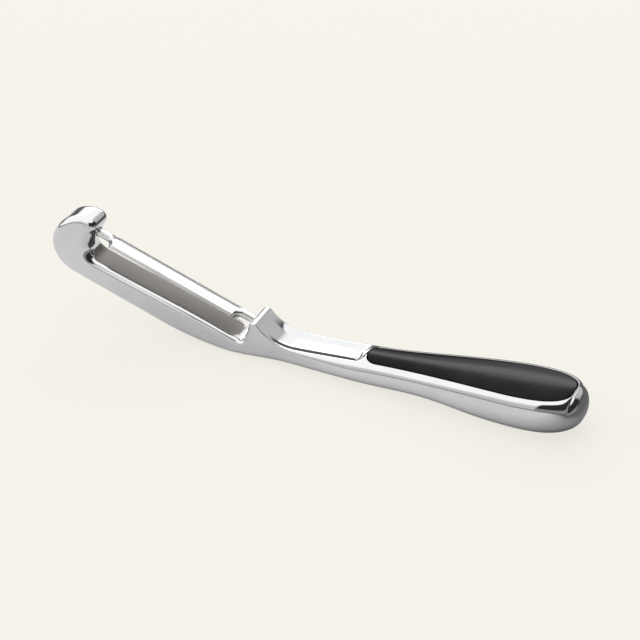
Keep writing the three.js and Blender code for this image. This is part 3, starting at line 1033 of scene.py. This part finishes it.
@dataclass
class GripInlay:
    """The soft pad in the handle's top, formed by nodes from its plan and its crown."""

    handle: Handle
    finish: SoftTouchRubber = field(default_factory=SoftTouchRubber)
    edge_round: float = 0.45
    stations: int = 201
    girth_points: int = 97
    top_ends: float = 1.001
    weld_m: float = 1e-6
    crisp_deg: float = 50.0

    def inputs(self) -> dict[str, float]:
        """List the form's named inputs.

        Returns:
            Lengths in metres, and plain shares.
        """
        handle = self.handle
        lengths = {"Front X": handle.grip_front_x, "Rear X": handle.grip_rear_x, "Belly X": handle.belly_x,
                   "Swell X": handle.swell_x, "Rim Rear X": handle.rim_rear_x, "Butt X": handle.butt_x,
                   "Rim": handle.rim, "Front Half": handle.grip_front_half, "Full Half": handle.grip_half,
                   "Neck X": handle.neck_x, "Neck Height": handle.neck_height,
                   "Saddle Ease": handle.saddle_ease, "Top Bow": handle.top_bow, "Crown": handle.crown,
                   "Depth": handle.grip_depth - handle.clearance, "Edge Round": self.edge_round}
        shares = {"Front Squareness": handle.front_squareness, "Rear Squareness": handle.rear_squareness,
                  "Top Slope": handle.top_slope}
        return {name: value * MM for name, value in lengths.items()} | shares

    def end_steps(self, name: str, begin: str, finish: str, squareness: str) -> list[tuple[Any, ...]]:
        """List the steps that round off one end of the pad's plan.

        Args:
            name: the name that the width's share gets.
            begin: the place where the rounding begins.
            finish: the place of the end.
            squareness: the power of its superellipse.

        Returns:
            The steps.
        """
        return [(f"{name} share", "LINEAR", "x", begin, finish),
                (f"{name} bent", "POWER", f"{name} share", squareness),
                (f"{name} rest", "SUBTRACT", 1.0, f"{name} bent"),
                (f"{name} root", "DIVIDE", 1.0, squareness),
                (name, "POWER", f"{name} rest", f"{name} root")]

    def steps(self) -> list[tuple[Any, ...]]:
        """List the pad's arithmetic: a name, what is done, and the numbers or named values it is done to.

        Returns:
            The steps, in order.
        """
        return [
            # Along the pad: stations crowd towards both ends, where the plan turns quickly
            ("angle", "MULTIPLY", "Grid X", QUARTER),
            ("swing", "SINE", "angle"),
            ("x", "LINEAR", "swing", -1.0, 1.0, "Front X", "Rear X"),
            ("flank", "SMOOTHSTEP", "x", "Front X", "Swell X", "Front Half", "Full Half"),
            ("round start", "ADD", "Front X", "Front Half"),
            *self.end_steps("front", "round start", "Front X", "Front Squareness"),
            *self.end_steps("rear", "Belly X", "Rear X", "Rear Squareness"),
            *self.end_steps("fade", "Belly X", "Rim Rear X", "Rear Squareness"),
            ("front half", "MULTIPLY", "flank", "front"),
            ("half", "MULTIPLY", "front half", "rear"),
            ("rim flank", "ADD", "flank", "Rim"),
            ("rim half", "MULTIPLY", "rim flank", "fade"),
            # Across the pad: over the crowned top, then back along the flat underside
            ("shifted", "ADD", "Grid Y", 1.0),
            ("fold", "PINGPONG", "shifted", 2.0),
            ("turn", "MULTIPLY_ADD", "fold", QUARTER, -QUARTER),
            ("across", "SINE", "turn"),
            ("y", "MULTIPLY", "across", "half"),
            ("outward", "ABSOLUTE", "Grid Y"),
            ("below", "GREATER_THAN", "outward", self.top_ends),
            # Height: the handle's top line, the crown, and a rounded edge
            ("past", "SUBTRACT", "x", "Neck X"),
            ("past squared", "MULTIPLY", "past", "past"),
            ("reach squared", "MULTIPLY_ADD", "Saddle Ease", "Saddle Ease", "past squared"),
            ("reach", "SQRT", "reach squared"),
            ("eased", "SUBTRACT", "reach", "Saddle Ease"),
            ("line", "MULTIPLY_ADD", "eased", "Top Slope", "Neck Height"),
            ("way", "LINEAR", "x", "Front X", "Butt X", 0.0, math.pi),
            ("sway", "SINE", "way"),
            ("bow", "MULTIPLY", "sway", "sway"),
            ("top", "MULTIPLY_ADD", "bow", "Top Bow", "line"),
            ("spread", "DIVIDE", "y", "rim half"),
            ("spread squared", "MULTIPLY", "spread", "spread"),
            ("full arch", "SUBTRACT", 1.0, "spread squared"),
            ("arch", "MULTIPLY", "full arch", "fade"),
            ("crowned", "MULTIPLY_ADD", "arch", "Crown", "top"),
            ("off middle", "ABSOLUTE", "y"),
            ("margin", "SUBTRACT", "half", "off middle"),
            ("near", "LINEAR", "margin", "Edge Round", 0.0),
            ("near squared", "MULTIPLY", "near", "near"),
            ("left", "SUBTRACT", 1.0, "near squared"),
            ("curve", "SQRT", "left"),
            ("dip share", "SUBTRACT", 1.0, "curve"),
            ("dip", "MULTIPLY", "dip share", "Edge Round"),
            ("upper", "SUBTRACT", "crowned", "dip"),
            ("lower", "SUBTRACT", "top", "Depth"),
            ("z", "LINEAR", "below", 0.0, 1.0, "upper", "lower"),
        ]

    def form(self, names: list[str]) -> tuple[bpy.types.NodeTree, dict[str, str]]:
        """Build the node tree that forms the pad from a grid.

        Args:
            names: names of the tree's number inputs.

        Returns:
            The tree, and the identifier of each of its named inputs.
        """
        tree = bpy.data.node_groups.new("grip_inlay_form", "GeometryNodeTree")
        kinds = dict.fromkeys(names, "NodeSocketFloat") | {"Material": "NodeSocketMaterial"}
        keys = {name: tree.interface.new_socket(name, in_out="INPUT", socket_type=kind).identifier
                for name, kind in kinds.items()}
        tree.interface.new_socket("Geometry", in_out="OUTPUT", socket_type="NodeSocketGeometry")
        size = add(tree, "NodeGroupInput", {}).node.outputs
        grid = add(tree, "GeometryNodeMeshGrid", {"Size X": 2.0, "Size Y": 4.0, "Vertices X": self.stations,
                                                  "Vertices Y": self.girth_points})
        corner = add(tree, "GeometryNodeInputPosition", {})
        spot = add(tree, "ShaderNodeSeparateXYZ", {0: corner}).node.outputs
        known = {name: size[name] for name in keys} | {"Grid X": spot["X"], "Grid Y": spot["Y"]}
        for name, deed, *sources in self.steps():
            ranged = deed in ("LINEAR", "SMOOTHSTEP")
            kind, setting = (RANGE, "interpolation_type") if ranged else (MATH, "operation")
            feeds = {i: known.get(source, source) for i, source in enumerate(sources)}
            known[name] = add(tree, kind, feeds, **{setting: deed})
        goal = add(tree, "ShaderNodeCombineXYZ", {i: known[axis] for i, axis in enumerate("xyz")})
        laid = add(tree, "GeometryNodeSetPosition", {"Geometry": grid, "Position": goal})
        closed = add(tree, "GeometryNodeMergeByDistance", {"Geometry": laid, "Distance": self.weld_m})
        real = add(tree, "GeometryNodeRealizeInstances", {0: closed})
        dressed = add(tree, "GeometryNodeSetMaterial", {0: real, "Material": size["Material"]})
        add(tree, "NodeGroupOutput", {0: dressed})
        return tree, keys

    def build(self) -> None:
        """Form the pad, make it a plain mesh and dress it."""
        finish, inputs = self.finish.material(), self.inputs()
        tree, keys = self.form(list(inputs))
        blank = show("inlay_blank", bpy.data.meshes.new("inlay_blank"))
        former = blank.modifiers.new("inlay_form", "NODES")
        former.node_group = tree
        for name, value in inputs.items():
            former[keys[name]] = float(value)
        former[keys["Material"]] = finish
        made = evaluated(blank, "grip_inlay_pad")
        blank.modifiers.remove(former)
        bpy.data.objects.remove(blank)
        mend(made, self.crisp_deg)
        place("grip_inlay_pad", made, finish, "grip_inlay", Body.FRAME, Slot.GRIP)


@dataclass
class SwivelBlade:
    """The slotted steel strip, arched across its width, with its ends rolled into tongues."""

    head: HeadPlane
    finish: GroundStainless = field(default_factory=GroundStainless)
    pivot_span: float = 64.2
    sheet: float = 0.7
    edge_length: float = 49.5
    shoulder: float = 2.7
    face: float = 4.1
    lip: float = 1.25
    crown: float = 0.85
    face_angle: float = 26.0
    lip_angle: float = 62.0
    roll_angle: float = 165.0
    fold_blend: float = 0.06
    tongue_radius: float = 1.6
    tongue_in_bore: float = 3.2
    tip_rows: tuple[float, float] = (0.01, 0.15)
    slot_half: float = 0.55
    slot_flare: float = 0.25
    turn: float = 15.0
    across: int = 44
    fine_steps: int = 400
    roll_rows: int = 26
    slot_rows: int = 14
    crisp_deg: float = 40.0

    def line_angle(self, share: np.ndarray, rolled: float) -> np.ndarray:
        """Give the slope of the sheet across its half width.

        Args:
            share: distance from the middle as a share of the half width.
            rolled: 0 in the arched body, 1 in a tongue.

        Returns:
            The slope in radians.
        """
        fold = self.face / (self.face + self.lip)
        flat = self.face_angle * np.minimum(1.0, share / fold)
        body = ease(flat, self.lip_angle, share, fold - self.fold_blend, fold + self.fold_blend)
        return np.radians(mix(body, self.roll_angle * share, rolled))

    def half_section(self, rolled: float, gaps: tuple[float, float]) -> tuple[np.ndarray, np.ndarray]:
        """Lay the outer and inner faces of half a section, from the slot to the edge.

        Args:
            rolled: 0 in the arched body, 1 in a tongue.
            gaps: half width of the slot on the outer face and on the inner face.

        Returns:
            The outer and the inner points, across and up.
        """
        round_girth = (self.tongue_radius - self.sheet / 2) * math.radians(self.roll_angle)
        girth = mix(self.face + self.lip, round_girth, rolled)
        fine = np.linspace(0, 1, self.fine_steps)
        slope = self.line_angle(fine, rolled)
        between, step = (slope[1:] + slope[:-1]) / 2, girth / (self.fine_steps - 1)
        y = np.concatenate([[0], np.cumsum(np.cos(between) * step)])
        v = mix(self.crown, self.tongue_radius, rolled) - self.sheet / 2
        v = v - np.concatenate([[0], np.cumsum(np.sin(between) * step)])
        rows = []
        for side, gap in ((1, gaps[0]), (-1, gaps[1])):
            share = np.linspace(gap / girth, 1.0, self.across)
            lean = np.interp(share, fine, slope)
            reach = side * self.sheet / 2
            rows.append(np.stack([np.interp(share, fine, y) + reach * np.sin(lean),
                                  np.interp(share, fine, v) + reach * np.cos(lean)], axis=1))
        return rows[0], rows[1]

    def stations(self) -> list[tuple[float, float, float, float]]:
        """List the sections from end to end.

        Returns:
            For each: its place, its roll, and the slot's half widths outside and inside.
        """
        body, roll = self.edge_length / 2, self.edge_length / 2 + self.shoulder
        end = self.pivot_span / 2 + self.tongue_in_bore
        reach = [*(end - row for row in self.tip_rows), mix(end, roll, 0.5), roll]
        reach += [mix(roll, body, s) for s in np.linspace(0, 1, self.roll_rows)[1:]]
        wide = self.slot_half + self.slot_flare
        reach += [body - wide * (1 - math.cos(a)) for a in np.linspace(0, QUARTER, self.slot_rows)[1:]]
        reach += [mix(body - wide, 0.0, s) for s in np.linspace(0, 1, self.slot_rows)[1:-1]]
        made = []
        for place_at in [-r for r in reach] + [0.0] + reach[::-1]:
            rolled = 1 - float(smoothstep((roll - abs(place_at)) / self.shoulder, 0.0, 1.0))
            gaps = []
            for half in (self.slot_half, wide):
                inside = min(max(body - abs(place_at), 0.0), half)
                gaps.append(math.sqrt(max(half ** 2 - (half - inside) ** 2, 0.0)))
            made.append((place_at, rolled, gaps[0], gaps[1]))
        return made

    def mesh(self) -> bpy.types.Mesh:
        """Skin both halves of the strip and close them along the slot, the edges and the ends.

        Returns:
            The blade's mesh, turned as it rests.
        """
        points: list[np.ndarray] = []
        faces: list[tuple[int, ...]] = []
        stations = self.stations()
        wide = self.across
        for side in (1, -1):
            base = sum(len(block) for block in points)
            for place_at, rolled, *gaps in stations:
                for row in self.half_section(rolled, (gaps[0], gaps[1])):
                    u = np.full(wide, place_at - self.pivot_span / 2)
                    points.append(np.stack([u, side * row[:, 0], row[:, 1]], axis=1))
            for i in range(len(stations) - 1):
                here, then = base + 2 * i * wide, base + 2 * (i + 1) * wide
                for j in range(wide - 1):
                    faces.append((here + j, then + j, then + j + 1, here + j + 1))
                    faces.append((here + wide + j, here + wide + j + 1, then + wide + j + 1, then + wide + j))
                faces.append((here + wide - 1, then + wide - 1, then + 2 * wide - 1, here + 2 * wide - 1))
                if max(stations[i][3], stations[i + 1][3]) > NIL_MM:
                    faces.append((here, here + wide, then + wide, then))
            for cap in (base, base + 2 * (len(stations) - 1) * wide):
                faces += [(cap + j, cap + j + 1, cap + wide + j + 1, cap + wide + j) for j in range(wide - 1)]
        strip = np.concatenate(points)
        lean = math.radians(-self.turn)
        y = strip[:, 1] * math.cos(lean) - strip[:, 2] * math.sin(lean)
        v = strip[:, 1] * math.sin(lean) + strip[:, 2] * math.cos(lean)
        spot = self.head.point(strip[:, 0], v)
        return finished_mesh("slotted_blade", np.stack([spot[:, 0], y, spot[:, 1]], axis=1), faces,
                             self.crisp_deg)

    def build(self) -> None:
        """Build the blade and dress it."""
        finish = self.finish.material(self.head.tilt)
        place("slotted_blade", self.mesh(), finish, "swivel_blade", Body.BLADE, Slot.STEEL)


@dataclass(frozen=True)
class Card:
    """A pale card or a dim stretch of the room, which comes in along a heading and over a height."""

    heading: tuple[float, float, float]
    across: tuple[float, float]
    height: tuple[float, float]
    shade: str
    blend: str = "LIGHTEN"


@dataclass(frozen=True)
class Studio:
    """A pale table under soft light, with the camera where the photograph was taken from."""

    paper: str = "#F4F1E9"
    # Colours that mirrored rays see: the table near the part, and the painted shade it turns to farther off
    mirrored_paper: str = "#ECECEB"
    mirrored_table_shade: str = "#707070"
    mirrored_shade_middle: tuple[float, float, float] = (-0.25, -0.25, 0.0)
    mirrored_shade_edge: tuple[float, float] = (0.38, 0.46)
    camera_glow: float = 0.8
    mirror_glow: float = 0.05
    table_reach: float = 4.0
    table_drop: float = 0.0002
    key_way: tuple[float, float, float] = (-0.792, 0.198, 0.578)
    key_stops: tuple[tuple[float, str], ...] = ((0.1, "#2A2A2B"), (0.2, "#3A3A3C"), (0.32, "#A6A6A6"),
                                                (0.45, "#D8D8D7"), (0.58, "#FFFFFF"))
    # Cards at the front left (low and high), front right, far right and overhead, then two dim stretches
    cards: tuple[Card, ...] = (Card((-0.725, -0.688, 0.0), (0.7, 0.75), (0.75, 0.6), "#BDBDBD"),
                               Card((-0.725, -0.688, 0.0), (0.7, 0.75), (0.25, 0.7), "#FFFFFF"),
                               Card((0.707, -0.707, 0.0), (0.2, 0.6), (0.26, 0.16), "#868687"),
                               Card((0.259, 0.966, 0.0), (0.75, 0.95), (0.85, 0.7), "#B8B8B8"),
                               Card((0.0, 0.0, 0.0), (-1.0, -0.5), (0.78, 0.9), "#FFFFFF"),
                               Card((-0.2, 0.98, 0.0), (0.0, 0.5), (0.3, 0.14), "#565657", "MIX"),
                               Card((0.0, -1.0, 0.0), (0.0, 0.5), (0.08, 0.02), "#808080", "MIX"))
    room_strength: float = 1.5
    lamp_spot: tuple[float, float, float] = (-0.46, 0.99, 0.62)
    lamp_size: tuple[float, float] = (1.0, 0.25)
    lamp_watts: float = 3.2
    azimuth: float = 24.337
    elevation: float = 32.679
    roll: float = 0.061
    distance: float = 813.0
    focal_px: float = 2359.0
    sensor_mm: float = 36.0
    nearest: float = 0.01
    target: tuple[float, float, float] = (2.683, 0.0, 18.73)

    def floor(self) -> None:
        """Lay the table, which shows its own paper colour and keeps the part's shadow, and which mirrored
        rays see neutral near the part and darkened by painted shade farther off.
        """
        made, tree = blank_material("matt_paper")
        tree.nodes.clear()
        ray = add(tree, "ShaderNodeLightPath", {}).node.outputs
        mirrored = ray["Is Glossy Ray"]
        seen = add(tree, MATH, {0: ray["Is Camera Ray"], 1: mirrored}, operation="ADD")
        seen = add(tree, MATH, {0: seen, 1: ray["Is Transmission Ray"]}, operation="ADD", use_clamp=True)
        direct = add(tree, MATH, {0: ray["Is Camera Ray"], 1: self.camera_glow, 2: self.mirror_glow},
                     operation="MULTIPLY_ADD")
        share = add(tree, MATH, {0: seen, 1: direct}, operation="MULTIPLY")
        # Painted shade: to mirrored rays only, the table turns dark grey outside a circle round a point at
        # the front left, so the plate mirrors a shaded table off to the right and behind
        spot = add(tree, "ShaderNodeTexCoord", {}, "Object")
        off = add(tree, VECTOR, {0: spot, 1: self.mirrored_shade_middle}, operation="DISTANCE")
        dusk = add(tree, RANGE, {0: off, 1: self.mirrored_shade_edge[0], 2: self.mirrored_shade_edge[1]},
                   interpolation_type="SMOOTHSTEP")
        dusk = add(tree, MATH, {0: dusk, 1: mirrored}, operation="MULTIPLY")
        near = add(tree, BLEND, {"Factor": mirrored, "A": linear(self.paper), "B": linear(self.mirrored_paper)},
                   data_type="RGBA")
        tone = add(tree, BLEND, {"Factor": dusk, "A": near, "B": linear(self.mirrored_table_shade)}, data_type="RGBA")
        matt = add(tree, "ShaderNodeBsdfDiffuse", {"Color": tone})
        glow = add(tree, "ShaderNodeEmission", {"Color": tone, "Strength": 1.0})
        both = add(tree, "ShaderNodeMixShader", {0: share, 1: matt, 2: glow})
        add(tree, "ShaderNodeOutputMaterial", {"Surface": both})
        mesh = bpy.data.meshes.new("table")
        far = self.table_reach
        mesh.from_pydata([(-far, -far, 0), (far, -far, 0), (far, far, 0), (-far, far, 0)], [], [(0, 1, 2, 3)])
        mesh.materials.append(made)
        table = show("table", mesh)
        table.location.z = -self.table_drop

    def surroundings(self) -> None:
        """Light the room: a wide soft key on the left that falls off to a dark right side, and the cards."""
        world = bpy.data.worlds.new("studio_room")
        bpy.context.scene.world = world
        world.use_nodes = True
        tree = world.node_tree
        tree.nodes.clear()
        way = add(tree, "ShaderNodeTexCoord", {}, "Generated")
        height = add(tree, "ShaderNodeSeparateXYZ", {0: way}, "Z")
        key = add(tree, VECTOR, {0: way, 1: self.key_way}, operation="DOT_PRODUCT")
        tone = add(tree, RAMP, {"Fac": key}, stops=self.key_stops)
        level = add(tree, VECTOR, {0: way, 1: (1.0, 1.0, 0.0)}, operation="MULTIPLY")
        level = add(tree, VECTOR, {0: level}, operation="NORMALIZE")
        for card in self.cards:
            aim = add(tree, VECTOR, {0: level, 1: card.heading}, operation="DOT_PRODUCT")
            parts = [add(tree, RANGE, {0: value, 1: span[0], 2: span[1]}, interpolation_type="SMOOTHSTEP")
                     for value, span in ((aim, card.across), (height, card.height))]
            part = add(tree, MATH, {0: parts[0], 1: parts[1]}, operation="MULTIPLY")
            tone = add(tree, BLEND, {"Factor": part, "A": tone, "B": linear(card.shade)}, data_type="RGBA",
                       blend_type=card.blend)
        room = add(tree, "ShaderNodeBackground", {"Color": tone, "Strength": self.room_strength})
        add(tree, "ShaderNodeOutputWorld", {"Surface": room})

    def lamp(self) -> None:
        """Hang one soft box on the far side, facing the part."""
        light = bpy.data.lights.new("far_soft_box", "AREA")
        light.shape = "RECTANGLE"
        light.size, light.size_y = self.lamp_size
        light.energy = self.lamp_watts
        lamp = show("far_soft_box", light)
        lamp.location = self.lamp_spot
        lamp.rotation_euler = (-Vector(self.lamp_spot)).to_track_quat("-Z", "Y").to_euler()

    def camera(self) -> None:
        """Set the camera at the photograph's angle."""
        turn, rise, lean = (math.radians(a) for a in (self.azimuth, self.elevation, self.roll))
        back = Vector((math.sin(turn) * math.cos(rise), -math.cos(turn) * math.cos(rise), math.sin(rise)))
        right = (-back).cross(Vector((0, 0, 1))).normalized()
        up = right.cross(-back)
        side = right * math.cos(lean) + up * math.sin(lean)
        top = up * math.cos(lean) - right * math.sin(lean)
        view = bpy.data.cameras.new("view")
        view.sensor_width, view.clip_start = self.sensor_mm, self.nearest
        view.lens = self.focal_px * view.sensor_width / IMAGE_PX
        camera = show("view", view)
        spot = (Vector(self.target) + back * self.distance) * MM
        camera.matrix_world = Matrix.Translation(spot) @ Matrix((side, top, back)).transposed().to_4x4()
        bpy.context.scene.camera = camera

    def build(self) -> None:
        """Set up the table, the light and the camera."""
        self.floor()
        self.surroundings()
        self.lamp()
        self.camera()
        bpy.context.scene.view_settings.view_transform = "Standard"
        LOG.info("studio: table, room, lamp and camera")


def main() -> None:
    """Build the peeler's pieces in order, then the studio."""
    logging.basicConfig(level=logging.INFO, format="%(name)s: %(message)s")
    head = HeadPlane.of_joint(frame["record"]["behaviour"]["joints"][0])
    handle = Handle(shoulder_x=head.x)
    CastFrame(head, handle).build()
    GripInlay(handle).build()
    SwivelBlade(head).build()
    Studio().build()


if __name__ == "__main__":
    main()
